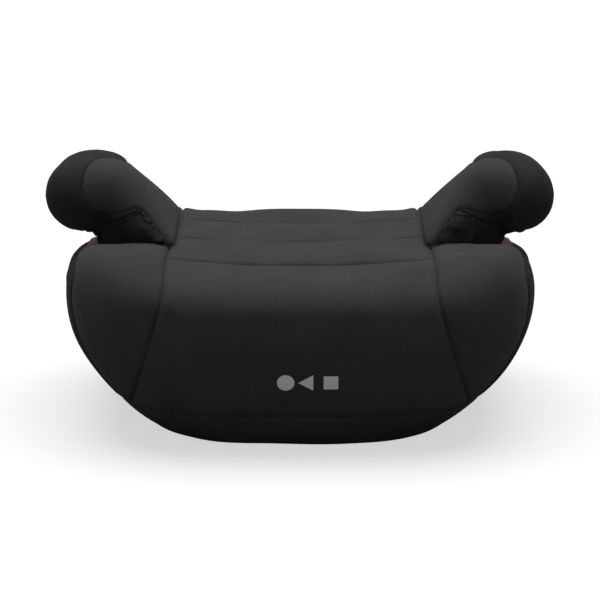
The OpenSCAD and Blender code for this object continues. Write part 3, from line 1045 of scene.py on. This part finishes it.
for side, sign in SIDES.items():
    tray = bmesh.new()
    bmesh.ops.create_grid(tray, x_segments=34, y_segments=90, size=1)
    for v in tray.verts:
        s, t = (v.co.x + 1) / 2, v.co.y
        end = max(0, (abs(t) - 0.9) / 0.1)
        corner = 1 - math.sqrt(1 - 0.96 * end * end)
        y = (guide_front_y + guide_back_y) / 2 + t * (guide_back_y - guide_front_y) / 2
        wall = arm_tree[side].ray_cast(Vector((sign * 300, y, 140)), Vector((-sign, 0, 0)))[0]
        wall_x = abs(wall.x) if wall else 172
        floor_z = body_tree.ray_cast(Vector((sign * (wall_x + fillet), y, 160)), Vector((0, 0, -1)))[0].z
        if s < 0.42:
            up = max(2, guide_wall_z - 9 * corner - floor_z) * (1 - s / 0.42)
            from_outside = Vector((sign * 300, y, floor_z + max(up, 4)))
            lean = arm_tree[side].ray_cast(from_outside, Vector((-sign, 0, 0)))[0]
            x = (abs(lean.x) if lean else wall_x) + guide_off + fillet * math.exp(-up / 4)
            z = floor_z + guide_off + up
        else:
            out = (s - 0.42) / 0.58
            flat_x = wall_x + guide_off + fillet
            x = flat_x + out * (guide_outer_x - 10 * corner - flat_x)
            z = body_tree.ray_cast(Vector((sign * x, y, 160)), Vector((0, 0, -1)))[0].z + guide_off
        v.co = (sign * x, y, z)
    for _ in range(3):
        bmesh.ops.smooth_vert(tray, verts=tray.verts[:], factor=0.5, use_axis_x=True, use_axis_y=False,
                              use_axis_z=True)
    bmesh.ops.recalc_face_normals(tray, faces=tray.faces[:])
    if sum(f.normal.z for f in tray.faces) < 0:
        bmesh.ops.reverse_faces(tray, faces=tray.faces[:])
    for edge in tray.edges:
        edge.smooth = not edge.is_boundary
    piece = finish_piece(link_piece(f"belt_guide_tray_{side}", tray), guide_red,
                         [f"belt_guide_{side}"])
    wall = piece.modifiers.new("thickness", "SOLIDIFY")
    wall.thickness = guide_t * MM
    wall.offset = -1
    rim = piece.modifiers.new("rim", "BEVEL")
    rim.width = 0.7 * MM
    rim.segments = 3
    rim.limit_method = "ANGLE"

# ---------------------------------------------------------------------------------------
# The floor, the light and the camera.
# ---------------------------------------------------------------------------------------
floor_mesh = bmesh.new()
bmesh.ops.create_grid(floor_mesh, x_segments=1, y_segments=1, size=40000)
floor = link_piece("floor", floor_mesh)
pale, tree, inputs = new_material("pale_floor", 0.9, Specular_IOR_Level=0.1)
seen = tree.nodes.new("ShaderNodeLightPath").outputs["Is Camera Ray"]
shade = tree.nodes.new("ShaderNodeMix")
shade.data_type = "RGBA"
shade.inputs[6].default_value = (0.22, 0.22, 0.22, 1)
shade.inputs[7].default_value = (0.40, 0.40, 0.40, 1)
tree.links.new(calculate(tree, "MULTIPLY", seen, 0.62), inputs["Emission Strength"])
inputs["Emission Color"].default_value = (1, 1, 1, 1)
tree.links.new(seen, shade.inputs["Factor"])
tree.links.new(shade.outputs[2], inputs["Base Color"])
floor.data.materials.append(pale)
floor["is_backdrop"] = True

world = bpy.data.worlds.new("studio")
world.use_nodes = True
sky = world.node_tree
seen = sky.nodes.new("ShaderNodeLightPath").outputs["Is Camera Ray"]
sky.links.new(calculate(sky, "MULTIPLY_ADD", seen, 1.0, 0.11), sky.nodes["Background"].inputs["Strength"])
sky.nodes["Background"].inputs["Color"].default_value = (1, 1, 1, 1)
bpy.context.scene.world = world
bpy.context.scene.view_settings.view_transform = "Standard"

overhead = bpy.data.lights.new("overhead", "SUN")
overhead.energy = 2.9
overhead.angle = math.radians(60)
front = bpy.data.lights.new("front", "SUN")
front.energy = 0.22
front.angle = math.radians(50)
for light, turn in ((overhead, -8), (front, 62)):
    lamp = bpy.data.objects.new(light.name, light)
    lamp.rotation_euler = (math.radians(turn), 0, 0)
    bpy.context.scene.collection.objects.link(lamp)

camera_data = bpy.data.cameras.new("camera")
camera_data.lens = 136.3
camera_data.sensor_width = 36
camera = bpy.data.objects.new("camera", camera_data)
aim = Vector((0, 0, 0.095))
tilt = math.radians(12)
camera.location = aim + 2.0 * Vector((0, -math.cos(tilt), math.sin(tilt)))
camera.rotation_mode = "QUATERNION"
camera.rotation_quaternion = (aim - camera.location).to_track_quat("-Z", "Y")
bpy.context.scene.collection.objects.link(camera)
bpy.context.scene.camera = camera

low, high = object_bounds()
